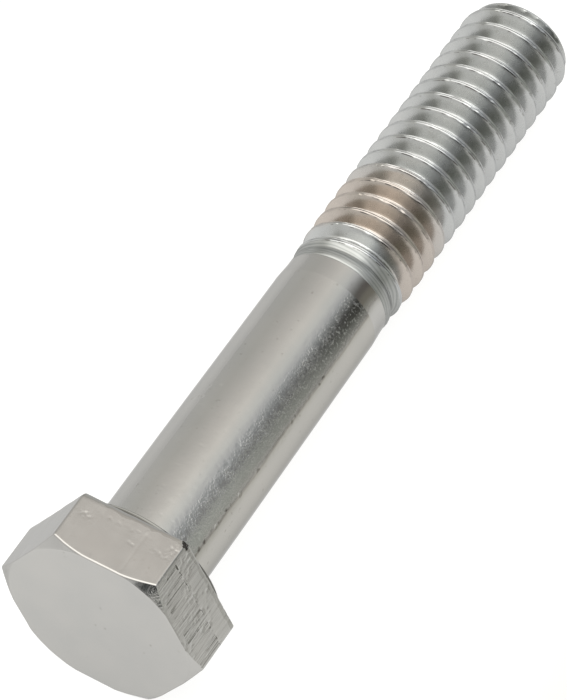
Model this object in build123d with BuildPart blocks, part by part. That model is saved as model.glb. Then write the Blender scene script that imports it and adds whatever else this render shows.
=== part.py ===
from build123d import *
import math
import os

# Hex bolt, 5/16-18 UNC x 2 in, right-hand thread, lying along +Y.
# The origin is the centre of the bearing face under the head. The point of the bolt is
# towards +Y, the head towards -Y, and two of the six flats are level.

# head
across_flats = 12.45
head_height = 4.62  # bearing face to the flat top
washer_radius = 6.0
washer_thickness = 0.4
top_radius = 6.35  # circle where the corner chamfers meet the flat top
top_chamfer = 0.52  # along the axis, at a corner
rear_bevel = 0.5  # along the axis, all round the bearing side of the hexagon

# shank
shank_radius = 3.86
shank_straight_end = 14.5
shank_end = 23.45
shank_end_radius = 3.78
underhead_fillet = 0.4
neck_radius = 3.66
neck_start = 25.0

# thread
length = 50.3  # bearing face to the point
pitch = 25.4 / 18
major_radius = 3.9
thread_depth = 0.6134 * pitch
crest_rises_from = 25.3
crest_full_from = 28.1
first_deep_groove = 27.27  # straight above the axis, where the groove has its full depth
runout_rise = 0.62  # how far the groove climbs outwards over its last turn
point_radius = 3.39
point_chamfer = 1.11

corner_radius = across_flats / math.sqrt(3)
root_radius = shank_radius + underhead_fillet
flank_slope = math.tan(math.radians(30))
beyond = 6.0  # spare length of blank past the point, trimmed off after the thread is cut
oversize = 0.3  # spare radius of the profiles that only trim
groove_overrun = 0.05  # how far the groove tool stands clear of the crests


def across(y):
    """A plane square to the axis at y, looking towards the point of the bolt."""
    return Plane(origin=(0, y, 0), x_dir=(1, 0, 0), z_dir=(0, 1, 0))


def groove_section(start):
    """The 60 degree thread groove in the plane of the axis, centred on start, above the axis."""
    outer = 7 / 16 * pitch + groove_overrun * flank_slope
    root = outer - (thread_depth + groove_overrun) * flank_slope
    with BuildSketch(Plane(origin=start, x_dir=(0, 0, 1), z_dir=(1, 0, 0))) as section:
        with BuildLine():
            Polyline(
                (groove_overrun, outer),
                (-thread_depth, root),
                (-thread_depth, -root),
                (groove_overrun, -outer),
                close=True,
            )
        make_face()
    return section.sketch


# Hexagonal head, with its corners chamfered at the top and a bevel round the bearing side
with BuildPart() as hex_head:
    with BuildSketch(across(-head_height)):
        RegularPolygon(across_flats / 2, 6, major_radius=False)
    extrude(amount=head_height - washer_thickness - rear_bevel)
    with BuildSketch(across(-washer_thickness - rear_bevel)):
        RegularPolygon(across_flats / 2, 6, major_radius=False)
    bevel_angle = math.degrees(math.atan((across_flats / 2 - washer_radius) / rear_bevel))
    extrude(amount=rear_bevel, taper=bevel_angle)
    with BuildSketch(Plane.XY):
        with BuildLine():
            Polyline(
                (0, -head_height),
                (top_radius, -head_height),
                (corner_radius, -head_height + top_chamfer),
                (corner_radius + oversize, -head_height + top_chamfer),
                (corner_radius + oversize, -washer_thickness),
                (0, -washer_thickness),
                close=True,
            )
        make_face()
    revolve(axis=Axis.Y, mode=Mode.INTERSECT)
hex_head.part.label = "hex_head"

# Washer face that bears on the work: a ring round the root of the shank
with BuildPart() as washer_face:
    with BuildSketch(across(-washer_thickness)):
        Circle(washer_radius)
        Circle(root_radius, mode=Mode.SUBTRACT)
    extrude(amount=washer_thickness)
washer_face.part.label = "washer_face"

# Plain shank: its root in the washer face, a fillet, a straight grip, and a slight taper
with BuildPart() as plain_shank:
    with BuildSketch(Plane.XY):
        with BuildLine():
            Polyline(
                (shank_radius, underhead_fillet),
                (shank_radius, shank_straight_end),
                (shank_end_radius, shank_end),
                (0, shank_end),
                (0, -washer_thickness),
                (root_radius, -washer_thickness),
                (root_radius, 0),
            )
            RadiusArc((root_radius, 0), (shank_radius, underhead_fillet), underhead_fillet)
        make_face()
    revolve(axis=Axis.Y)
plain_shank.part.label = "plain_shank"

# Conical neck down to the rolled thread
with BuildPart() as runout_neck:
    with BuildSketch(Plane.XY):
        with BuildLine():
            Polyline(
                (0, shank_end),
                (shank_end_radius, shank_end),
                (neck_radius, neck_start),
                (0, neck_start),
                close=True,
            )
        make_face()
    revolve(axis=Axis.Y)
runout_neck.part.label = "runout_neck"

# Threaded end: a blank, the helical groove, the run-out of the groove, then the point
with BuildLine() as groove_path:
    Helix(
        pitch,
        length + beyond / 2 - first_deep_groove,
        major_radius,
        center=(0, first_deep_groove, 0),
        direction=(0, 1, 0),
    )
runout_angle = -math.atan(runout_rise / pitch)
with BuildLine() as runout_path:
    Helix(
        pitch / math.cos(runout_angle),
        pitch,
        major_radius + runout_rise,
        center=(0, first_deep_groove - pitch, 0),
        direction=(0, 1, 0),
        cone_angle=math.degrees(runout_angle),
    )
with BuildPart() as threaded_end:
    with BuildSketch(Plane.XY):
        with BuildLine():
            Polyline(
                (0, neck_start),
                (neck_radius, neck_start),
                (neck_radius, crest_rises_from),
                (major_radius, crest_full_from),
                (major_radius, length + beyond),
                (0, length + beyond),
                close=True,
            )
        make_face()
    revolve(axis=Axis.Y)
    for path in (groove_path.line, runout_path.line):
        sweep(groove_section(path @ 0), path=path, is_frenet=True, mode=Mode.SUBTRACT)
    with BuildSketch(Plane.XY):
        with BuildLine():
            Polyline(
                (0, neck_start),
                (major_radius + oversize, neck_start),
                (major_radius + oversize, length - point_chamfer),
                (major_radius, length - point_chamfer),
                (point_radius, length),
                (0, length),
                close=True,
            )
        make_face()
    revolve(axis=Axis.Y, mode=Mode.INTERSECT)
threaded_end.part.label = "threaded_end"

os.makedirs("parts", exist_ok=True)
for piece in (hex_head, washer_face, plain_shank, runout_neck, threaded_end):
    export_step(piece.part, f"parts/{piece.part.label}.step")
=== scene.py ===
import math

import bmesh
import bpy
import numpy as np
from mathutils import Matrix, Vector


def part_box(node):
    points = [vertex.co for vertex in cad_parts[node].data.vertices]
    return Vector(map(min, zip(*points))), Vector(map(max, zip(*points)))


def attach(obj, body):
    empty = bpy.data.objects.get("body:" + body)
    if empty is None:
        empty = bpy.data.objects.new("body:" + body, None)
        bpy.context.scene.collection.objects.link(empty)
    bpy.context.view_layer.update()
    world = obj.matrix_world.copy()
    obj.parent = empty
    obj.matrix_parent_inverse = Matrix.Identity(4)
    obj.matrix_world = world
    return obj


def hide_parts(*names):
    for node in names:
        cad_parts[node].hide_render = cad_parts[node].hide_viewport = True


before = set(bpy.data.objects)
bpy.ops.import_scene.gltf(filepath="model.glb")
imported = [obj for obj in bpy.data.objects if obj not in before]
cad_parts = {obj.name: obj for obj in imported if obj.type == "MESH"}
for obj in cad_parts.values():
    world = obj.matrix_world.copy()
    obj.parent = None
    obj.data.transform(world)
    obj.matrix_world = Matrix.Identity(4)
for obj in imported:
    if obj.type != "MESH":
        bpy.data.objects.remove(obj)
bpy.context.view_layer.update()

MM = 0.001
TAU = 2 * math.pi


def millimetres(node):
    """Lowest and highest corner of a CAD node, in millimetres."""
    low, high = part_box(node)
    return np.array(low) / MM, np.array(high) / MM


head_low, head_high = millimetres("hex_head")
ring_low, ring_high = millimetres("washer_face")
shank_low, shank_high = millimetres("plain_shank")
neck_high = millimetres("runout_neck")[1]
thread_low, thread_high = millimetres("threaded_end")

# Sizes read from the frame, in millimetres
apothem = head_high[2]
head_top = head_low[1]
head_rear = head_high[1]
ring_radius = ring_high[2]
root_radius = shank_high[2]
shank_end = shank_high[1]
neck_end = neck_high[1]
point = thread_high[1]
major_radius = thread_high[2]

# Sizes that the frame's boxes don't give, in millimetres
top_radius = 6.35  # circle where the corner chamfers meet the flat top
chamfer_slope = 0.62
edge_break = 0.038  # how far the edge of the flat top is rounded off
corner_rounding = 0.22
shank_radius = 3.855
fillet = 0.4
cone_radius = 3.75  # where the shank meets the neck
neck_radius = 3.66
pitch = 25.4 / 18
first_crest = 27.98  # the first full crest, straight above the axis
thread_depth = 0.6134 * pitch
point_radius = 3.39
point_chamfer = 1.11
weld = 0.002  # points closer than this become one
sharp = math.radians(45)  # edges that turn by more than this stay sharp

# The six flats, counted from +X towards +Z. The first lies between 0 and 60 degrees.
whole_side = math.radians(60)
half_side = math.radians(30)
rough_flat, top_flat, smooth_flat = 0, 1, 2


# Noise and shaping
def smoothstep(low, high, x):
    """A smooth rise from 0 at low to 1 at high, or a smooth fall where high is below low."""
    t = np.clip((x - low) / (high - low), 0.0, 1.0)
    return t * t * (3 - 2 * t)


def bump(x, centre, width):
    """A smooth hill of height 1 at centre."""
    return np.exp(-(((x - centre) / width) ** 2))


def lattice(ix, iy, iz, seed):
    """A repeatable random value from -1 to 1 at each lattice point."""
    h = (ix * 73856093) ^ (iy * 19349663) ^ (iz * 83492791) ^ (seed * 2654435761)
    h = ((h ^ (h >> 13)) * 1274126177) & 0xFFFFFFFF
    h = ((h ^ (h >> 15)) * 668265263) & 0xFFFFFFFF
    h = (h ^ (h >> 16)) & 0xFFFFFF
    return h / 0x7FFFFF - 1.0


def noise(points, size, seed):
    """Smooth noise from about -1 to 1, with grains of that size along each axis."""
    p = points / np.asarray(size)
    cell = np.floor(p).astype(np.int64)
    f = p - cell
    f = f * f * f * (f * (f * 6 - 15) + 10)
    total = np.zeros(p.shape[:-1])
    for corner in range(8):
        step = np.array([corner & 1, corner >> 1 & 1, corner >> 2 & 1])
        weight = np.where(step, f, 1 - f).prod(-1)
        c = cell + step
        total += weight * lattice(c[..., 0], c[..., 1], c[..., 2], seed)
    return total


def round_axis(radius, y, angle):
    """Points at a radius, a distance along +Y, and an angle from +X towards +Z."""
    radius, y, angle = np.broadcast_arrays(radius, y, angle)
    return np.stack([radius * np.cos(angle), y, radius * np.sin(angle)], -1)


# Meshes
def tube(grid):
    """Points and outward faces of an open tube from rows along +Y of points round the axis."""
    rows, columns = grid.shape[:2]
    i, j = np.meshgrid(np.arange(rows - 1), np.arange(columns), indexing="ij")
    k = (j + 1) % columns
    corners = [i * columns + j, (i + 1) * columns + j, (i + 1) * columns + k, i * columns + k]
    faces = np.stack(corners, -1).reshape(-1, 4).tolist()
    return grid.reshape(-1, 3), faces


def close_end(points, faces, ring, outward):
    """Closes an end of a body with a fan round the middle of a ring of points."""
    middle = len(points)
    points = np.vstack([points, points[ring].mean(0)])
    for a, b in zip(ring, np.roll(ring, -1)):
        faces.append([middle, int(a), int(b)] if outward else [middle, int(b), int(a)])
    return points, faces


def closed_tube(grid):
    """Points and faces of a tube with both of its ends closed."""
    rows, columns = grid.shape[:2]
    ring = np.arange(columns)
    points, faces = tube(grid)
    points, faces = close_end(points, faces, ring, True)
    return close_end(points, faces, ring + (rows - 1) * columns, False)


def add_piece(name, node, points, faces, material):
    """A smooth mesh from points in millimetres, which stands for a CAD node."""
    mesh = bpy.data.meshes.new(name)
    mesh.from_pydata((points * MM).tolist(), [], faces)
    shape = bmesh.new()
    shape.from_mesh(mesh)
    bmesh.ops.remove_doubles(shape, verts=shape.verts, dist=weld * MM)
    bmesh.ops.dissolve_degenerate(shape, edges=shape.edges, dist=weld / 2 * MM)
    bmesh.ops.recalc_face_normals(shape, faces=shape.faces)
    for face in shape.faces:
        face.smooth = True
    for edge in shape.edges:
        edge.smooth = edge.calc_face_angle(0) < sharp
    shape.to_mesh(mesh)
    shape.free()
    mesh.materials.append(material)
    piece = bpy.data.objects.new(name, mesh)
    bpy.context.scene.collection.objects.link(piece)
    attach(piece, "root")
    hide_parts(node)


def rounded_profile(corners, cuts, steps, arc_steps=6):
    """Rows of points along a line through the corners, each inner corner rounded off.

    Every corner is an array of (radius, y) for each column. cuts says how far the rounding of
    each inner corner reaches before and after it, and steps how many rows each straight part gets."""
    corners = np.array(corners)
    lengths = np.linalg.norm(np.diff(corners, axis=0), axis=-1)
    rows = [corners[0]]
    start = corners[0]
    for n in range(1, len(corners) - 1):
        before, here, after = corners[n - 1], corners[n], corners[n + 1]
        cut_before = np.minimum(cuts[n - 1][0], 0.48 * lengths[n - 1])[:, None]
        cut_after = np.minimum(cuts[n - 1][1], 0.48 * lengths[n])[:, None]
        arc_start = here + (before - here) * cut_before / lengths[n - 1][:, None]
        arc_end = here + (after - here) * cut_after / lengths[n][:, None]
        for s in range(1, steps[n - 1] + 1):
            rows.append(start + (arc_start - start) * s / steps[n - 1])
        for s in range(1, arc_steps + 1):
            t = s / arc_steps
            rows.append((1 - t) ** 2 * arc_start + 2 * t * (1 - t) * here + t * t * arc_end)
        start = arc_end
    for s in range(1, steps[-1] + 1):
        rows.append(start + (corners[-1] - start) * s / steps[-1])
    return np.array(rows)


# Head
def hexagon_columns(per_side):
    """The flat and the angle of each column, with columns packed towards the corners."""
    s = (np.arange(per_side) + 0.5) / per_side * 2 - 1
    packed = s * (1.22 - 0.22 * s * s)
    one_side = np.arctan(packed * math.tan(half_side))
    side = np.repeat(np.arange(6), per_side)
    angle = np.tile(one_side, 6) + half_side + side * whole_side
    return side, angle


def hexagon_radius(angle):
    """Radius of the hexagon with rounded corners, at an angle round the axis."""
    from_corner = (angle + half_side) % whole_side - half_side
    centre = (apothem - corner_rounding) / math.cos(half_side)
    half_flat = (apothem - corner_rounding) * math.tan(half_side)
    rounded_until = half_side - math.atan(half_flat / apothem)
    flat = apothem / np.cos(half_side - np.abs(from_corner))
    inside = np.maximum(corner_rounding**2 - (centre * np.sin(from_corner)) ** 2, 0)
    corner = centre * np.cos(from_corner) + np.sqrt(inside)
    return np.where(np.abs(from_corner) > rounded_until, flat, corner)


def dent(u, y, at_u, at_y, wide, long, deep):
    """Depth of one dent on a flat or along the shank."""
    return deep * np.exp(-(((u - at_u) / wide) ** 2) - ((y - at_y) / long) ** 2)


def broaching(place, side, y):
    """Depth of the broaching lines and the torn metal: full on the rough flat, less on the others."""
    broad = noise(place, (0.16, 2.6, 1.0), 13)
    thin = noise(place, (0.06, 1.3, 1.0), 14)
    patches = smoothstep(-0.15, 0.45, noise(place, (1.3, 1.1, 1.0), 15))
    lines = 0.006 * np.maximum(broad, 0) + 0.012 * patches * np.maximum(thin - 0.2, 0)
    torn = 0.030 * smoothstep(0.45, 0.7, noise(place, (0.20, 0.13, 1.0), 16)) * patches
    tear = -1.98 - 0.10 * noise(place, (0.5, 9.0, 1.0), 18)
    broken = smoothstep(-0.2, 0.3, noise(place, (0.35, 9.0, 1.0), 19))
    torn += 0.05 * bump(y, tear, 0.05) * broken * (side == rough_flat)
    flats = [side == rough_flat, side == top_flat, side == smooth_flat]
    return np.select(flats, [1.0, 0.0, 0.1], 0.55) * (lines + torn)


def top_flat_marks(place, u, y):
    """Depth of the scratch, the crumbled patches and the two small dents on the top flat."""
    depth = 0.008 * bump(u, -1.21, 0.022) * smoothstep(-4.6, -4.2, y) * smoothstep(-0.9, -1.3, y)
    crumbs = smoothstep(0.15, 0.6, noise(place, (0.10, 0.08, 1.0), 17))
    for at_u, at_y, wide, long, deep in (
        (2.75, -1.90, 0.55, 0.28, 0.013),
        (-2.65, -2.02, 0.60, 0.22, 0.013),
        (-3.20, -1.30, 0.35, 0.45, 0.013),
        (0.40, -1.35, 1.60, 0.12, 0.010),
    ):
        depth += crumbs * dent(u, y, at_u, at_y, wide, long, deep)
    for at_u in (-0.57, -0.84):
        depth += dent(u, y, at_u, -2.29 + 0.2 * (at_u + 0.7), 0.08, 0.05, 0.012)
    return depth


def flat_wear(side, u, y):
    """Depth of the tool marks and dents on the flats. u runs along a flat from its middle."""
    place = np.stack([u, y, side * 37.0], -1)
    fine = 0.0012 * noise(place, (0.07, 3.2, 1.0), 11) + 0.0012
    wavy = 0.004 * noise(place, (0.8, 2.4, 1.0), 12) + 0.004
    depth = fine + wavy + broaching(place, side, y)
    depth += np.where(side == top_flat, top_flat_marks(place, u, y), 0)
    nick = dent(u, y, 3.55, -0.55, 0.16, 0.22, 0.14)
    mirrored = nick[:, ::-1]
    return depth + np.select([side == rough_flat, side == top_flat], [nick, mirrored], 0)


def head_profile(angle, radius):
    """Rows from the middle of the flat top, over its edge and down the flats, to the rear's middle."""
    place = round_axis(radius, 0, angle)
    past_top = np.maximum(radius - top_radius, 0)
    cut_back = np.hypot(past_top, edge_break)
    chamfer = np.hypot(chamfer_slope * past_top, edge_break)
    wander = 0.010 * noise(place, 2.3, 21) + 0.008 * noise(place, 0.4, 24) + 0.015
    rear = 0.22 + 0.02 * noise(place, 3.1, 22) + 0.17 * np.cos(angle - math.radians(180))
    rear += 0.12 * rear * noise(place, 0.7, 25)
    zero = np.zeros_like(angle)
    corners = [
        np.stack([zero + 0.02, zero + head_top], -1),
        np.stack([radius - cut_back - wander, zero + head_top], -1),
        np.stack([radius, head_top + chamfer + wander], -1),
        np.stack([radius, head_rear - rear], -1),
        np.stack([radius - 0.4 * rear, zero + head_rear], -1),
        np.stack([zero + 0.02, zero + head_rear], -1),
    ]
    cuts = [(0.06, 0.05), (0.05, 0.09), (0.5 * rear, 0.5 * rear), (0.45 * rear, 0.2 * rear)]
    return rounded_profile(corners, cuts, (26, 5, 44, 5, 12), 8)


def hex_head(material):
    """The hexagon: a flat top, cone-cut corners, worn flats, and a rounded bearing side."""
    side, angle = hexagon_columns(96)
    radius = hexagon_radius(angle)
    rows = head_profile(angle, radius)
    r, y = rows[..., 0], rows[..., 1]
    u = r * np.sin(angle - half_side - side * whole_side)
    on_flat = smoothstep(0.955, 0.99, r / radius)
    depth = on_flat * flat_wear(np.broadcast_to(side, u.shape), u, y)
    grid = round_axis(r - depth, y, angle)
    on_top = y < head_top + 0.01
    grid[..., 1] += 0.004 * (1 + noise(grid, (1.6, 9.0, 1.6), 23)) * on_top
    points, faces = closed_tube(grid)
    add_piece("head", "hex_head", points, faces, material)


def washer_face(material):
    """The raised ring under the head, with turning marks on the face that bears."""
    angle = np.arange(240) / 240 * TAU
    section = [
        (root_radius, ring_low[1]),
        (ring_radius, ring_low[1]),
        (ring_radius, ring_high[1]),
        (root_radius, ring_high[1]),
        (root_radius, ring_low[1]),
    ]
    corners = [np.tile(corner, (len(angle), 1)) for corner in section]
    cuts = [(0.02, 0.02), (0.20, 0.16), (0.01, 0.01)]
    rows = rounded_profile(corners, cuts, (6, 10, 60, 4))[:-1]
    r, y = rows[..., 0], rows[..., 1]
    turned = 0.006 + 0.006 * np.sin(r * TAU / 0.19)
    y = y - turned * (y > ring_high[1] - 0.005)
    rim = 0.03 + 0.002 * np.sin(y * TAU / 0.13) + 0.06 * np.maximum(np.cos(angle), 0)
    r = r - rim * (r > ring_radius - 0.005)
    points, faces = tube(round_axis(r, y, angle))
    count, columns = r.shape
    last = (count - 1) * columns
    for j in range(columns):
        k = (j + 1) % columns
        faces.append([last + j, j, k, last + k])
    add_piece("washer_ring", "washer_face", points, faces, material)


# Shank and neck
def shank_profile(y):
    """Radius of the drawn shank: a fillet at the head, then easing down to the start of the neck."""
    slim = (shank_radius - cone_radius) * smoothstep(3, 30, y) / smoothstep(3, 30, shank_end)
    r = shank_radius - slim
    inside = np.maximum(fillet**2 - (fillet - y) ** 2, 0)
    under_head = root_radius - np.sqrt(inside)
    return np.where(y < 0, root_radius, np.where(y < fillet, np.maximum(under_head, r), r))


def shank_wear(grid, y, angle):
    """Depth of the orange-peel skin, pits and torn dents on the shank."""
    degrees = np.degrees(angle)
    skin = 0.0022 * noise(grid, (0.34, 0.5, 0.34), 31) + 0.0012 * noise(grid, (0.17, 0.22, 0.17), 32)
    upper_side = smoothstep(80, 55, degrees) * smoothstep(20, 36, degrees)
    lower_side = smoothstep(200, 230, degrees) * smoothstep(310, 280, degrees)
    rough = np.maximum(upper_side, lower_side)
    torn = smoothstep(0.42, 0.75, noise(grid, (0.16, 0.30, 0.16), 33))
    patches = smoothstep(0.0, 0.5, noise(grid, (0.9, 2.2, 0.9), 34))
    depth = 0.004 + skin * (0.35 + 1.1 * rough) + 0.012 * torn * patches * rough
    depth += 0.005 * smoothstep(0.80, 0.93, noise(grid, 0.2, 35))
    for at_y, at_angle, wide, long, deep in (
        (11.44, 135.4, 0.07, 0.10, 0.03),
        (11.56, 124.7, 0.06, 0.08, 0.03),
        (12.56, 124.8, 0.05, 0.09, 0.02),
        (12.65, 113.7, 0.06, 0.07, 0.025),
        (11.61, 16.1, 0.07, 0.12, 0.03),
        (6.95, 33.4, 0.06, 0.10, 0.05),
        (4.1, 34.0, 0.05, 0.12, 0.04),
    ):
        arc = np.radians(degrees - at_angle) * shank_radius
        depth += dent(arc, y, 0, at_y, wide, long, deep)
    return depth


def plain_shank(material):
    """The drawn shank with its root in the washer ring, a fillet and a worn skin."""
    angle = np.arange(264) / 264 * TAU
    y = np.concatenate([
        np.linspace(shank_low[1], 0, 5)[:-1],
        fillet * (1 - np.cos(np.linspace(0, math.pi / 2, 9)))[:-1],
        np.linspace(fillet, shank_end - 0.06, 270),
        np.linspace(shank_end - 0.04, shank_end, 3),
    ])[:, None]
    r = shank_profile(y)
    grid = round_axis(r, y, angle)
    worn = smoothstep(0.3, 0.9, y) * smoothstep(shank_end, shank_end - 0.4, y)
    depth = shank_wear(grid, y, np.broadcast_to(angle, grid.shape[:2])) * worn
    points, faces = closed_tube(round_axis(r - depth, y, angle))
    add_piece("shank", "plain_shank", points, faces, material)


def runout_neck(material):
    """The cone from the shank down to the rolled thread."""
    angle = np.arange(264) / 264 * TAU
    y = np.linspace(shank_end, neck_end, 36)[:, None]
    t = (y - shank_end) / (neck_end - shank_end)
    r = cone_radius + (neck_radius - cone_radius) * smoothstep(-0.15, 1.0, t)
    grid = round_axis(r, y, angle)
    skin = 0.0018 * (1 + noise(grid, (0.3, 0.5, 0.3), 41))
    points, faces = closed_tube(round_axis(r - skin * np.sin(math.pi * t), y, angle))
    add_piece("neck", "runout_neck", points, faces, material)


# Thread
def ridge_shape(x):
    """Share of the groove's depth, from 0 on the crest to 1 at the root, x pitches from the crest."""
    crest_half, root_from, soft = 0.095, 0.435, 0.03
    slope = (x - crest_half) / (root_from - crest_half)
    rise = 0.5 * (slope + np.sqrt(slope * slope + soft * soft))
    fall = 0.5 * ((1 - rise) + np.sqrt((1 - rise) ** 2 + soft * soft))
    shape = 1 - fall
    start = crest_half / (root_from - crest_half)
    low = 0.5 * (-start + math.sqrt(start**2 + soft * soft))
    return np.clip((shape - low) / (1 - low), 0, 1)


def folded_crest(s, depth):
    """Drop of the crest s mm along the axis from its middle: two round lips and a leaning fold."""
    lips_at = [-0.134, -0.115, -0.095, -0.075, -0.06, 0.085, 0.10, 0.134]
    lips = [0.024, 0.014, 0.006, 0.001, 0, 0, 0.006, 0.034]
    fold_at = [-0.06, -0.035, -0.015, 0.015, 0.04, 0.06, 0.075, 0.085, 0.10]
    fold = [0, 0.006, 0.048, 0.060, 0.050, 0.030, 0.012, 0.003, 0]
    return np.interp(s, lips_at, lips) + depth * np.interp(s, fold_at, fold)


def crest_drop(plain, y, from_crest):
    """Depth of the fold in the crest, with its dips and with chips along one of its lips."""
    wavy = from_crest * pitch + 0.012 * noise(plain, (0.9, 0.6, 0.9), 55)
    open_fold = 1.0 + 0.35 * noise(plain, (1.4, 0.8, 1.4), 56)
    fold = folded_crest(wavy, open_fold) * smoothstep(25.9, 26.5, y)
    dips = smoothstep(0.1, 0.5, noise(plain, (0.75, 0.7, 0.75), 57))
    return fold + 0.025 * dips * smoothstep(0.03, 0.07, wavy)


def thread_radius(y, angle, from_crest):
    """Radius of the rolled thread, which grows out of the neck and ends in a worn point."""
    plain = round_axis(major_radius, y, angle)
    crest_at = [25.0, 25.6, 26.3, 27.0, 27.7, 28.4]
    crest = np.interp(y, crest_at, [3.66, 3.705, 3.765, 3.80, 3.865, 3.885])
    crest = crest + 0.008 * noise(plain, (1.1, 0.9, 1.1), 51) - 0.008
    depth_at = [25.0, 25.6, 26.2, 27.0, 27.7, 28.4]
    depth = np.interp(y, depth_at, [0, 0.09, 0.27, 0.60, 0.82, thread_depth])
    groove = depth * ridge_shape(np.abs(from_crest)) * smoothstep(point - 0.1, point - 0.6, y)
    turned = y + 0.03 * noise(plain, (2.5, 0.5, 2.5), 54)
    ripple = 0.009 * bump(turned, 26.0, 0.80) * (1 + np.sin(turned * TAU / 0.22))
    start_groove = 0.02 * bump(y, 25.06, 0.05)
    r = crest - groove - crest_drop(plain, y, from_crest) - ripple - start_groove
    past_chamfer = y - (point - point_chamfer)
    tip = major_radius - past_chamfer * (major_radius - point_radius) / point_chamfer
    r = 0.5 * (r + tip - np.sqrt((r - tip) ** 2 + 0.002))
    r = r - 0.10 * smoothstep(point - 0.22, point, y) ** 2
    chips = smoothstep(0.25, 0.6, noise(plain, (0.26, 0.16, 0.26), 52)) * bump(from_crest, -0.07, 0.03)
    skin = 0.0025 * (1 + noise(plain, (0.3, 0.2, 0.3), 53))
    r = r - 0.045 * chips * smoothstep(27.0, 28.0, y) - skin * smoothstep(25.0, 25.4, y)
    return np.minimum(r, major_radius)


def helix_faces(rows, columns, per_pitch):
    """Faces of rows that climb one pitch in each turn, so a row's end meets a later row's start."""
    i, j = np.meshgrid(np.arange(rows - 1), np.arange(columns - 1), indexing="ij")
    a = i * columns + j
    faces = np.stack([a, a + 1, a + columns + 1, a + columns], -1).reshape(-1, 4).tolist()
    for n in range(rows - per_pitch - 1):
        last = n * columns + columns - 1
        start = (n + per_pitch) * columns
        faces.append([last, start, start + columns, last + columns])
    return faces


def threaded_end(material):
    """The rolled thread: a helical ridge that grows out of the neck and ends in a worn point."""
    columns = 172
    over_crest = np.arange(-9, 10) * 0.0134
    flank = np.array([0.21, 0.30, 0.38, 0.42, 0.46])
    one_pitch = np.concatenate([-flank[::-1], over_crest, flank, [0.5]])
    first = math.floor((thread_low[1] - first_crest) / pitch - 0.5)
    last = math.ceil((thread_high[1] - first_crest) / pitch + 0.5)
    height = np.concatenate([n + one_pitch for n in range(first, last)])[:, None]
    share = np.arange(columns) / columns
    y = first_crest + (height + share) * pitch
    y = np.clip(y, thread_low[1], thread_high[1])
    angle = math.pi / 2 - share * TAU
    turns = (y - first_crest) / pitch - share
    r = thread_radius(y, angle, turns - np.round(turns))

    rows = len(height)
    points = round_axis(r, y, angle).reshape(-1, 3)
    faces = helix_faces(rows, columns, len(one_pitch))
    ring = np.arange(columns)
    points, faces = close_end(points, faces, ring, False)
    points, faces = close_end(points, faces, ring + (rows - 1) * columns, True)
    add_piece("thread", "threaded_end", points, faces, material)


# Shader nodes
def add_node(tree, kind, **values):
    """A shader node. Each named value is set on the node, or on its input of that name."""
    node = tree.nodes.new(kind)
    for name, value in values.items():
        if hasattr(node, name):
            setattr(node, name, value)
        else:
            node.inputs[name.replace("_", " ")].default_value = value
    return node


def math_node(tree, operation, *inputs):
    """The output of a Math node fed by outputs or numbers."""
    node = add_node(tree, "ShaderNodeMath", operation=operation)
    for socket, value in zip(node.inputs, inputs):
        if isinstance(value, (int, float)):
            socket.default_value = value
        else:
            tree.links.new(value, socket)
    return node.outputs[0]


def as_colour(value):
    """A colour with full alpha, from a colour or a grey level."""
    return (*value, 1) if isinstance(value, tuple) else (value, value, value, 1)


def ramp(tree, factor, stops):
    """A colour ramp from rising (position, colour or grey level) stops."""
    node = tree.nodes.new("ShaderNodeValToRGB")
    elements = node.color_ramp.elements
    while len(elements) < len(stops):
        elements.new(0.5)
    for element, (position, colour) in zip(elements, stops):
        element.position = position
        element.color = as_colour(colour)
    tree.links.new(factor, node.inputs[0])
    return node.outputs[0]


def mix_colour(tree, factor, first, second, blend="MIX"):
    """The output of a colour mix. Its colours are outputs, plain colours or grey levels."""
    node = add_node(tree, "ShaderNodeMix", data_type="RGBA", blend_type=blend)
    if isinstance(factor, (int, float)):
        node.inputs[0].default_value = factor
    else:
        tree.links.new(factor, node.inputs[0])
    for socket, value in ((node.inputs[6], first), (node.inputs[7], second)):
        if isinstance(value, (int, float, tuple)):
            socket.default_value = as_colour(value)
        else:
            tree.links.new(value, socket)
    return node.outputs[2]


def tint(tree, share, colour, by):
    """A colour multiplied by another one, as far as the share goes."""
    return mix_colour(tree, share, colour, by, "MULTIPLY")


def product(tree, first, *others):
    """Colours multiplied together."""
    for other in others:
        first = tint(tree, 1.0, first, other)
    return first


def noise_node(tree, place, scale, detail=2.0):
    """Smooth noise from 0 to 1, finer for a larger scale."""
    node = add_node(tree, "ShaderNodeTexNoise", Scale=scale, Detail=detail)
    tree.links.new(place, node.inputs["Vector"])
    return node.outputs["Fac"]


def add_noise(tree, place, value, scale, detail, amount):
    """A value with up to that amount of noise added to it."""
    return math_node(tree, "MULTIPLY_ADD", noise_node(tree, place, scale, detail), amount, value)


def map_range(tree, value, **limits):
    """A value mapped from one range to another, and held at its ends."""
    node = add_node(tree, "ShaderNodeMapRange", **limits)
    tree.links.new(value, node.inputs["Value"])
    return node.outputs["Result"]


def add_relief(tree, height, depth, normal):
    """A bump that is depth mm deep, which feeds a normal input."""
    relief = add_node(tree, "ShaderNodeBump", Strength=1.0, Distance=depth * MM)
    tree.links.new(height, relief.inputs["Height"])
    tree.links.new(relief.outputs["Normal"], normal)
    return relief


def separate(tree, place):
    """The X, Y and Z of a place or a direction."""
    node = tree.nodes.new("ShaderNodeSeparateXYZ")
    tree.links.new(place, node.inputs[0])
    return node.outputs["X"], node.outputs["Y"], node.outputs["Z"]


def turn_round(tree, x, z):
    """The angle round the bolt's axis from +X towards +Z, in turns from -0.5 to 0.5."""
    return math_node(tree, "DIVIDE", math_node(tree, "ARCTAN2", z, x), TAU)


def ramp_round(tree, turn, stops):
    """A ramp round the bolt's axis, with its stops in degrees."""
    return ramp(tree, turn, [(degrees / 360, colour) for degrees, colour in stops])


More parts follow.
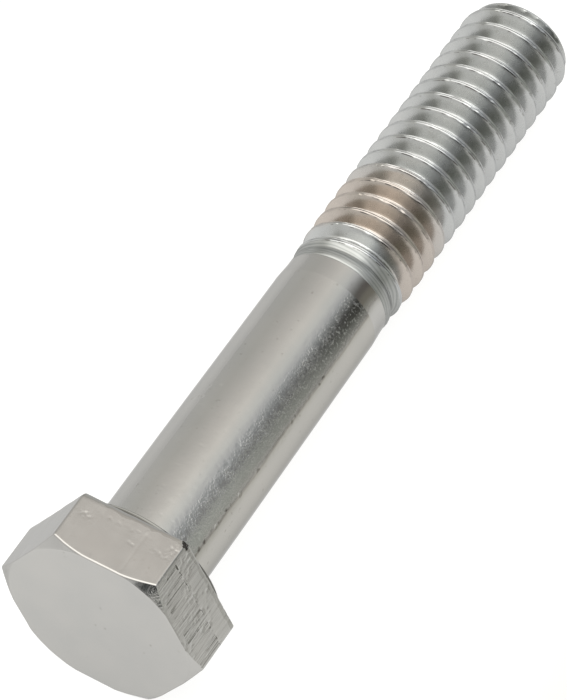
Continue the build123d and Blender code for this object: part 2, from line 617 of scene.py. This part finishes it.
# Materials
def plated_metal(name, skin_depth, skin_scale):
    """Bright plated steel, slightly warm, with faint clouds, specks and a fine skin.

    Gives the material, its tree, place, shader and skin, and its colour, which isn't linked yet."""
    material = bpy.data.materials.new(name)
    material.use_nodes = True
    tree = material.node_tree
    tree.nodes.clear()
    place = tree.nodes.new("ShaderNodeTexCoord").outputs["Object"]
    shader = add_node(tree, "ShaderNodeBsdfPrincipled", Metallic=1.0)
    shader.inputs["Specular Tint"].default_value = (0.60, 0.60, 0.60, 1)
    output = tree.nodes.new("ShaderNodeOutputMaterial")
    tree.links.new(shader.outputs[0], output.inputs["Surface"])

    clouds = noise_node(tree, place, 350.0, 4.0)
    colour = ramp(tree, clouds, [(0.3, (0.440, 0.438, 0.425)), (0.7, (0.462, 0.456, 0.440))])
    specks = noise_node(tree, place, 2600.0, 1.0)
    colour = tint(tree, 0.7, colour, ramp(tree, specks, [(0.70, 1), (0.80, (0.80, 0.79, 0.77))]))

    grain = noise_node(tree, place, skin_scale, 2.0)
    skin = add_relief(tree, grain, skin_depth, shader.inputs["Normal"])
    return material, tree, place, shader, skin, colour


def smeared_gloss(tree, place, shader, roughness):
    """A roughness that varies a little in smears."""
    smears = noise_node(tree, place, 900.0, 3.0)
    rough = ramp(tree, smears, [(0.3, roughness * 0.8), (0.75, roughness * 1.25)])
    tree.links.new(rough, shader.inputs["Roughness"])


def line_strength(tree, x, y, z):
    """Strength of the broaching lines: faint on the top flat and past it, and less near the rear."""
    below_top = math_node(tree, "GREATER_THAN", y, (head_top + 0.06) * MM)
    worn_side = ramp_round(tree, turn_round(tree, x, z), [(57.6, 1), (62.28, 0.16)])
    strength = math_node(tree, "MULTIPLY", worn_side, below_top)
    front = map_range(tree, y, From_Min=-1.75 * MM, From_Max=-2.05 * MM, To_Min=0.35)
    return math_node(tree, "MULTIPLY", strength, front)


def head_tones(tree, place, y, z, plating):
    """The plating with darker level flats, a dull band at the rear, painted shade on the ring's top and
    a black nick.
    """
    level_flat = math_node(tree, "GREATER_THAN", z, (apothem - 0.12) * MM)
    colour = tint(tree, level_flat, plating, (0.90, 0.885, 0.88))
    uneven = add_noise(tree, place, y, 1500.0, 3.0, 0.5 * MM)
    rear_band = math_node(tree, "GREATER_THAN", uneven, (head_rear - 0.10) * MM)
    colour = tint(tree, rear_band, colour, (0.84, 0.84, 0.83))

    # Painted shade: the top of the washer ring, under the head, is darkened to about a third of the
    # plating.
    shaded_ring_top = math_node(tree, "GREATER_THAN", y, (ring_low[1] + 0.02) * MM)
    shaded_ring_top = math_node(tree, "MULTIPLY", shaded_ring_top, math_node(tree, "GREATER_THAN", z, 5.0 * MM))
    colour = mix_colour(tree, shaded_ring_top, colour, product(tree, plating, (0.38, 0.38, 0.37)))

    from_nick = add_node(tree, "ShaderNodeVectorMath", operation="DISTANCE")
    from_nick.inputs[1].default_value = (3.6 * MM, -0.5 * MM, 6.15 * MM)
    tree.links.new(place, from_nick.inputs[0])
    distance = add_noise(tree, place, from_nick.outputs["Value"], 3000.0, 3.0, 0.8 * MM)
    in_nick = math_node(tree, "LESS_THAN", distance, 0.70 * MM)
    return mix_colour(tree, in_nick, colour, (0.06, 0.055, 0.05))


def line_dirt(tree, place, drawn_out, y, strength, colour):
    """A colour with dirt in the deepest lines and in the torn line of the rough flat."""
    dirt = noise_node(tree, drawn_out, 12000.0, 3.0)
    dirt = ramp(tree, dirt, [(0.37, (0.42, 0.42, 0.40)), (0.42, 1)])
    tears = noise_node(tree, place, 2200.0, 2.0)
    tears = ramp(tree, tears, [(0.48, 1), (0.54, (0.25, 0.25, 0.23))])
    uneven = add_noise(tree, place, y, 900.0, 2.0, 0.5 * MM)
    in_tear = math_node(tree, "COMPARE", uneven, -1.74 * MM, 0.07 * MM)
    dirt = mix_colour(tree, in_tear, dirt, tears)
    clear_of_top = math_node(tree, "GREATER_THAN", y, (head_top + 0.45) * MM)
    strength = math_node(tree, "MULTIPLY", strength, clear_of_top)
    return tint(tree, math_node(tree, "GREATER_THAN", strength, 0.9), colour, dirt)


def head_metal():
    """The head's plating over broaching lines that run along the flats."""
    material, tree, place, shader, skin, colour = plated_metal("head_plating", 0.0006, 2400.0)
    smeared_gloss(tree, place, shader, 0.14)
    stretch = tree.nodes.new("ShaderNodeMapping")
    stretch.inputs["Scale"].default_value = (1, 0.025, 1)
    tree.links.new(place, stretch.inputs["Vector"])
    drawn_out = stretch.outputs[0]

    x, y, z = separate(tree, place)
    strength = line_strength(tree, x, y, z)
    lines = math_node(tree, "MULTIPLY", noise_node(tree, drawn_out, 9000.0, 3.0), strength)
    add_relief(tree, lines, 0.018, skin.inputs["Normal"])
    colour = head_tones(tree, place, y, z, colour)
    colour = line_dirt(tree, place, drawn_out, y, strength, colour)
    tree.links.new(colour, shader.inputs["Base Color"])
    return material


def ramp_along(tree, y, stops):
    """A ramp along the shank, with its stops in millimetres from the bearing face."""
    reach = 25
    share = math_node(tree, "DIVIDE", y, reach * MM)
    return ramp(tree, share, [(at / reach, level) for at, level in stops])


def dark_streak(tree, place, y, turn):
    """Strength of the dark streak on the shank, which widens towards the neck."""
    across = ramp_round(tree, turn, [(30, 0), (38, 0.55), (45, 1), (52, 1), (65, 0)])
    stops = [(3.5, 0), (6.5, 0.05), (12.5, 0.35), (17.5, 0.55), (20.75, 0.85), (23.25, 1)]
    broken = ramp(tree, noise_node(tree, place, 5600.0, 2.0), [(0.54, 1), (0.66, 0.40)])
    return product(tree, across, ramp_along(tree, y, stops), broken)


def painted_horizon_line(tree, place, turn, colour):
    """A colour with a painted reflection of the table's edge: a thin brown line with dark notches, along
    the lower edge of the streak.
    """
    swayed = add_noise(tree, place, turn, 420.0, 3.0, 0.016)
    swayed = math_node(tree, "SUBTRACT", swayed, 0.008)
    # Painted reflection: the thin brown line stands for the table's dark edge seen in the shank.
    horizon_line = [(32.1, (0.95, 0.94, 0.91)), (33.0, (0.42, 0.36, 0.30)), (33.9, 1)]
    beside = ramp_round(tree, swayed, [(31.0, 0), (33.0, 1), (34.6, 1), (36.0, 0)])
    notches = ramp(tree, noise_node(tree, place, 1150.0, 2.0), [(0.60, 0), (0.66, 1)])
    colour = product(tree, colour, ramp_round(tree, swayed, horizon_line))
    return mix_colour(tree, product(tree, notches, beside), colour, (0.085, 0.075, 0.065))


def streak_pits(tree, place, y, turn):
    """Height of the pitted skin in the streak."""
    across = ramp_round(tree, turn, [(33, 0), (42, 0.55), (50, 1), (58, 0.85), (68, 0)])
    pits = ramp(tree, noise_node(tree, place, 6400.0, 3.0), [(0.43, 0), (0.60, 1)])
    patchy = ramp(tree, noise_node(tree, place, 1300.0, 2.0), [(0.38, 0.35), (0.60, 1)])
    return product(tree, pits, patchy, across, ramp_along(tree, y, [(2.5, 0.85), (12.5, 1)]))


def shank_metal():
    """The shank's plating, with a dark pitted streak that widens towards the neck."""
    material, tree, place, shader, skin, colour = plated_metal("shank_plating", 0.0012, 3600.0)
    smeared_gloss(tree, place, shader, 0.11)
    x, y, z = separate(tree, place)
    turn = turn_round(tree, x, z)
    colour = tint(tree, dark_streak(tree, place, y, turn), colour, (0.14, 0.14, 0.13))
    # Painted reflection of the table's edge along the streak.
    colour = painted_horizon_line(tree, place, turn, colour)
    tree.links.new(colour, shader.inputs["Base Color"])
    add_relief(tree, streak_pits(tree, place, y, turn), 0.013, skin.inputs["Normal"])
    return material


def neck_metal():
    """The neck's plating, with the end of the shank's dark streak."""
    material, tree, place, shader, _, colour = plated_metal("neck_plating", 0.0010, 3000.0)
    smeared_gloss(tree, place, shader, 0.15)
    x, _, z = separate(tree, place)
    turn = add_noise(tree, place, turn_round(tree, x, z), 500.0, 3.0, 0.03)
    streak = [(40, 1), (50, (0.50, 0.46, 0.42)), (62, (0.46, 0.43, 0.40)), (74, 0.96)]
    colour = product(tree, colour, ramp_round(tree, turn, streak))
    tree.links.new(colour, shader.inputs["Base Color"])
    return material


def wavy_end(tree, place, x):
    """How far the stain's ends bow and wander along the bolt, in millimetres."""
    across = math_node(tree, "DIVIDE", x, MM)
    bow = math_node(tree, "MULTIPLY", math_node(tree, "MULTIPLY", across, across), 0.035)
    slant = math_node(tree, "MULTIPLY_ADD", across, 0.04, bow)
    return add_noise(tree, place, slant, 600.0, 2.0, 0.6)


def peach_stain(tree, along, wavy):
    """Strength of the stain on the first turns of the thread."""
    share = map_range(tree, math_node(tree, "ADD", along, wavy), From_Min=27.0, From_Max=35.0)
    return ramp(tree, share, [(0.135, 0), (0.185, 1), (0.68, 1), (0.76, 0.6), (0.86, 0.35), (0.91, 0)])


def painted_flank_shade(tree, place, along, turn):
    """Strength of the painted shade on two sides of the thread. There is more of it towards the point.
    """
    uneven = add_noise(tree, place, turn, 1400.0, 3.0, 0.03)
    one_side = [(38, 0), (45, 1), (52, 1), (63, 0)]
    other_side = [(110, 0), (119, 0.8), (124, 0.7), (133, 0)]
    sides = ramp_round(tree, uneven, one_side + other_side)
    to_point = map_range(tree, along, From_Min=27.0, From_Max=46.0, To_Min=0.65, To_Max=1.0)
    return math_node(tree, "MULTIPLY", sides, to_point)


def crest_marks(tree, place, on_ridge, turn, full, colour):
    """A colour with painted shade in the crest's fold, a duller crest, and nicks along its lip on top.
    """
    # Painted shade: the fold in the middle of the crest is darkened to a tenth.
    fold_shade = ramp(tree, on_ridge, [(0.474, 1), (0.484, 0.10), (0.514, 0.10), (0.526, 1)])
    colour = tint(tree, full, colour, fold_shade)
    dull = (0.90, 0.90, 0.91)
    crest = ramp(tree, on_ridge, [(0.39, 1), (0.42, dull), (0.57, dull), (0.60, 1)])
    colour = tint(tree, full, colour, crest)
    nicks = ramp(tree, noise_node(tree, place, 1500.0, 2.0), [(0.50, 0), (0.58, 1)])
    lip = ramp(tree, on_ridge, [(0.376, 0), (0.388, 1), (0.402, 1), (0.412, 0)])
    upward = ramp_round(tree, turn, [(20, 0), (40, 1), (115, 1), (130, 0)])
    nicks = mix_colour(tree, full, 0, product(tree, nicks, lip, upward))
    return mix_colour(tree, nicks, colour, (0.10, 0.09, 0.085))


def fine_rings(tree, along, wavy):
    """Tone of the fine rings that run round the run-out."""
    wave = math_node(tree, "MULTIPLY_ADD", wavy, 8.0, math_node(tree, "MULTIPLY", along, 28.0))
    wave = math_node(tree, "MULTIPLY_ADD", math_node(tree, "SINE", wave), 0.5, 0.5)
    return ramp(tree, wave, [(0.1, (0.60, 0.61, 0.60)), (0.6, (0.80, 0.80, 0.79))])


def ridge_gloss(tree, place, on_ridge, short_of_point, past_runout):
    """Roughness of the thread: polished crests, duller flanks, and a dull run-out and point."""
    crest, flank, runout = 0.08, 0.26, 0.38
    rough = ramp(tree, on_ridge, [(0.37, flank), (0.40, crest), (0.60, crest), (0.63, flank)])
    rough = mix_colour(tree, short_of_point, flank, rough)
    rough = mix_colour(tree, past_runout, runout, rough)
    smears = ramp(tree, noise_node(tree, place, 900.0, 3.0), [(0.3, 0.85), (0.7, 1.15)])
    return product(tree, rough, smears)


def thread_metal():
    """The thread's plating: a peach stain, painted shade on two sides, and marks that follow the ridge,
    with painted shade in its fold.
    """
    material, tree, place, shader, _, colour = plated_metal("thread_plating", 0.0014, 2600.0)
    x, y, z = separate(tree, place)
    turn = turn_round(tree, x, z)
    along = math_node(tree, "DIVIDE", y, MM)
    wavy = wavy_end(tree, place, x)

    # Turns of the helix, which are whole numbers on the middle of the crest
    turns = math_node(tree, "MULTIPLY_ADD", along, 1 / pitch, -first_crest / pitch - 0.25)
    turns = math_node(tree, "ADD", turns, turn)
    from_crest = math_node(tree, "SUBTRACT", turns, math_node(tree, "ROUND", turns))
    on_ridge = math_node(tree, "ADD", from_crest, 0.5)
    past_start = math_node(tree, "GREATER_THAN", along, 26.3)
    short_of_point = math_node(tree, "LESS_THAN", along, point - 0.7)
    full = math_node(tree, "MULTIPLY", past_start, short_of_point)
    past_runout = math_node(tree, "GREATER_THAN", turns, -1.10)

    colour = product(tree, colour, (1.04, 1.065, 1.09))
    colour = tint(tree, peach_stain(tree, along, wavy), colour, (1.0, 0.895, 0.82))
    # Painted shade: the thread is darkened on two sides round its axis.
    colour = tint(tree, painted_flank_shade(tree, place, along, turn), colour, (0.71, 0.71, 0.69))
    colour = crest_marks(tree, place, on_ridge, turn, full, colour)
    ringed = product(tree, colour, fine_rings(tree, along, wavy))
    colour = mix_colour(tree, past_runout, ringed, colour)
    tree.links.new(colour, shader.inputs["Base Color"])
    rough = ridge_gloss(tree, place, on_ridge, short_of_point, past_runout)
    tree.links.new(rough, shader.inputs["Roughness"])
    return material


# Studio
def grey_room(tree, x, y, z):
    """A room whose tone changes round the bolt, and is even past the head and past the point."""
    around = math_node(tree, "ADD", turn_round(tree, x, z), 0.5)
    room = [
        (-180, (0.80, 0.80, 0.78)),
        (-60, (0.90, 0.90, 0.88)),
        (-35, (0.70, 0.69, 0.66)),
        (-17, (0.54, 0.53, 0.49)),
        (-8, (0.57, 0.56, 0.52)),
        (3, (0.53, 0.54, 0.50)),
        (14, (0.58, 0.60, 0.56)),
        (25, (0.55, 0.57, 0.53)),
        (30, 0.37),
        (37, 0.37),
        (44, (0.46, 0.48, 0.49)),
        (53, (0.62, 0.64, 0.65)),
        (60, (0.78, 0.79, 0.80)),
        (72, (1.02, 1.03, 1.00)),
        (90, (1.12, 1.09, 1.03)),
        (108, (0.96, 0.93, 0.88)),
        (128, (0.82, 0.80, 0.76)),
        (145, (0.75, 0.74, 0.70)),
        (180, (0.79, 0.79, 0.77)),
    ]
    sides = ramp_round(tree, around, [(angle + 180, colour) for angle, colour in room])
    along = math_node(tree, "MULTIPLY_ADD", y, 0.5, 0.5)
    sides = product(tree, sides, ramp(tree, along, [(0.70, 1.35), (0.77, 1)]))
    ends = ramp(tree, along, [(0.0, (0.75, 0.75, 0.74)), (0.5, 1), (1.0, (1.2, 1.25, 1.3))])
    near_end = math_node(tree, "POWER", math_node(tree, "ABSOLUTE", y), 8.0)
    return mix_colour(tree, near_end, sides, ends)


def soft_box(tree, x, y, z):
    """A wide glow overhead with soft edges."""
    height = math_node(tree, "MAXIMUM", z, 0.02)
    across = [(0.15, 0), (0.21, 1), (0.60, 1), (0.65, 0)]
    ahead = [(0.28, 0), (0.33, 1), (0.612, 1), (0.638, 0)]
    glow = (1.28, 1.28, 1.25)
    for side, edges in ((x, across), (y, ahead)):
        slope = math_node(tree, "DIVIDE", side, height)
        glow = product(tree, ramp(tree, math_node(tree, "MULTIPLY_ADD", slope, 0.25, 0.5), edges), glow)
    return glow


def studio_light():
    """A soft studio: a wide light overhead, a grey room, and a dark patch beyond the head."""
    world = bpy.data.worlds.new("studio")
    bpy.context.scene.world = world
    world.use_nodes = True
    tree = world.node_tree
    tree.nodes.clear()
    direction = tree.nodes.new("ShaderNodeTexCoord").outputs["Generated"]
    x, y, z = separate(tree, direction)
    sky = mix_colour(tree, 1.0, grey_room(tree, x, y, z), soft_box(tree, x, y, z), "ADD")

    toward = add_node(tree, "ShaderNodeVectorMath", operation="DOT_PRODUCT")
    toward.inputs[1].default_value = Vector((0.30, -0.95, 0.06)).normalized()
    tree.links.new(direction, toward.inputs[0])
    dark_patch = ramp(tree, toward.outputs["Value"], [(0.965, 0), (0.988, 1)])
    sky = mix_colour(tree, dark_patch, sky, (0.04, 0.045, 0.045))
    background = tree.nodes.new("ShaderNodeBackground")
    tree.links.new(sky, background.inputs["Color"])
    output = tree.nodes.new("ShaderNodeOutputWorld")
    tree.links.new(background.outputs[0], output.inputs["Surface"])


def painted_table_light(tree, x):
    """Colour of the table's painted light across the bolt, with stops in millimetres from its middle: a
    pool of light near the bolt and a dark band for the table's edge on the +X side.
    """
    reach = 100
    pale = [(-100, 0.62), (-45, 0.70), (-26, 0.80), (-14, 0.92), (-4, 0.90), (8, 0.86)]
    pale += [(14, 0.83), (20, 0.79)]
    yellow = [(30, 0.64), (48, 0.48), (62, 0.44)]
    edge = [(65, (0.07, 0.05, 0.04)), (88, (0.08, 0.06, 0.05)), (93, (0.40, 0.40, 0.37))]
    stops = [(at, (level, level * 0.995, level * 0.985)) for at, level in pale]
    stops += [(at, (level, level * 0.995, level * 0.945)) for at, level in yellow]
    share = map_range(tree, x, From_Min=-reach * MM, From_Max=reach * MM)
    return ramp(tree, share, [((at + reach) / (2 * reach), colour) for at, colour in stops + edge])


def floor_material():
    """A pale table whose glow is painted light: a pool brightest near the bolt, with a dark edge on the
    +X side.
    """
    material = bpy.data.materials.new("table_painted_glow")
    material.use_nodes = True
    tree = material.node_tree
    tree.nodes.clear()
    place = tree.nodes.new("ShaderNodeTexCoord").outputs["Object"]
    # Painted light: the table glows, brightest near the bolt, and the metal reflects that glow.
    emission = tree.nodes.new("ShaderNodeEmission")
    tree.links.new(painted_table_light(tree, separate(tree, place)[0]), emission.inputs["Color"])
    diffuse = add_node(tree, "ShaderNodeBsdfDiffuse", Color=(0.20, 0.20, 0.20, 1))
    both = tree.nodes.new("ShaderNodeAddShader")
    tree.links.new(emission.outputs[0], both.inputs[0])
    tree.links.new(diffuse.outputs[0], both.inputs[1])
    output = tree.nodes.new("ShaderNodeOutputMaterial")
    tree.links.new(both.outputs[0], output.inputs["Surface"])
    return material


def floor():
    """A table that touches the head's lower edge and the point, so it leans from the bolt's axis."""
    lean = math.atan((apothem - point_radius) / (point - head_top - 0.5))
    normal = Vector((0, -math.sin(lean), math.cos(lean)))
    reach = 1.5
    corners = [(-reach, -reach, 0), (reach, -reach, 0), (reach, reach, 0), (-reach, reach, 0)]
    mesh = bpy.data.meshes.new("table")
    mesh.from_pydata(corners, [], [(0, 1, 2, 3)])
    mesh.materials.append(floor_material())
    table = bpy.data.objects.new("table", mesh)
    touch = Vector((0, head_top * MM, -apothem * MM)) - normal * 0.02 * MM
    middle = touch + Vector((0, math.cos(lean), math.sin(lean))) * 24 * MM
    table.matrix_world = Matrix.Translation(middle) @ normal.to_track_quat("Z", "Y").to_matrix().to_4x4()
    bpy.context.scene.collection.objects.link(table)


def camera():
    """A long lens above and beside the head, which looks along the bolt and is rolled a little."""
    data = bpy.data.cameras.new("camera")
    data.sensor_fit = "VERTICAL"
    data.sensor_height = 36
    data.lens = 271.006
    data.clip_start = 0.02
    eye = bpy.data.objects.new("camera", data)
    target = Vector((-0.63, 19.40, 0.20)) * MM
    distance = 333.74
    azimuth, elevation, roll = (math.radians(a) for a in (25.377, 52.833, 5.307))
    back = Vector((
        math.sin(azimuth) * math.cos(elevation),
        -math.cos(azimuth) * math.cos(elevation),
        math.sin(elevation),
    ))
    level = Vector((0, 0, 1)).cross(back).normalized()
    raised = back.cross(level)
    right = level * math.cos(roll) + raised * math.sin(roll)
    up = back.cross(right)
    turn = Matrix((right, up, back)).transposed().to_4x4()
    eye.matrix_world = Matrix.Translation(target + back * distance * MM) @ turn
    bpy.context.scene.collection.objects.link(eye)
    bpy.context.scene.camera = eye


head_plating = head_metal()
hex_head(head_plating)
washer_face(head_plating)
plain_shank(shank_metal())
runout_neck(neck_metal())
threaded_end(thread_metal())
studio_light()
floor()
camera()
bpy.context.scene.view_settings.view_transform = "Standard"
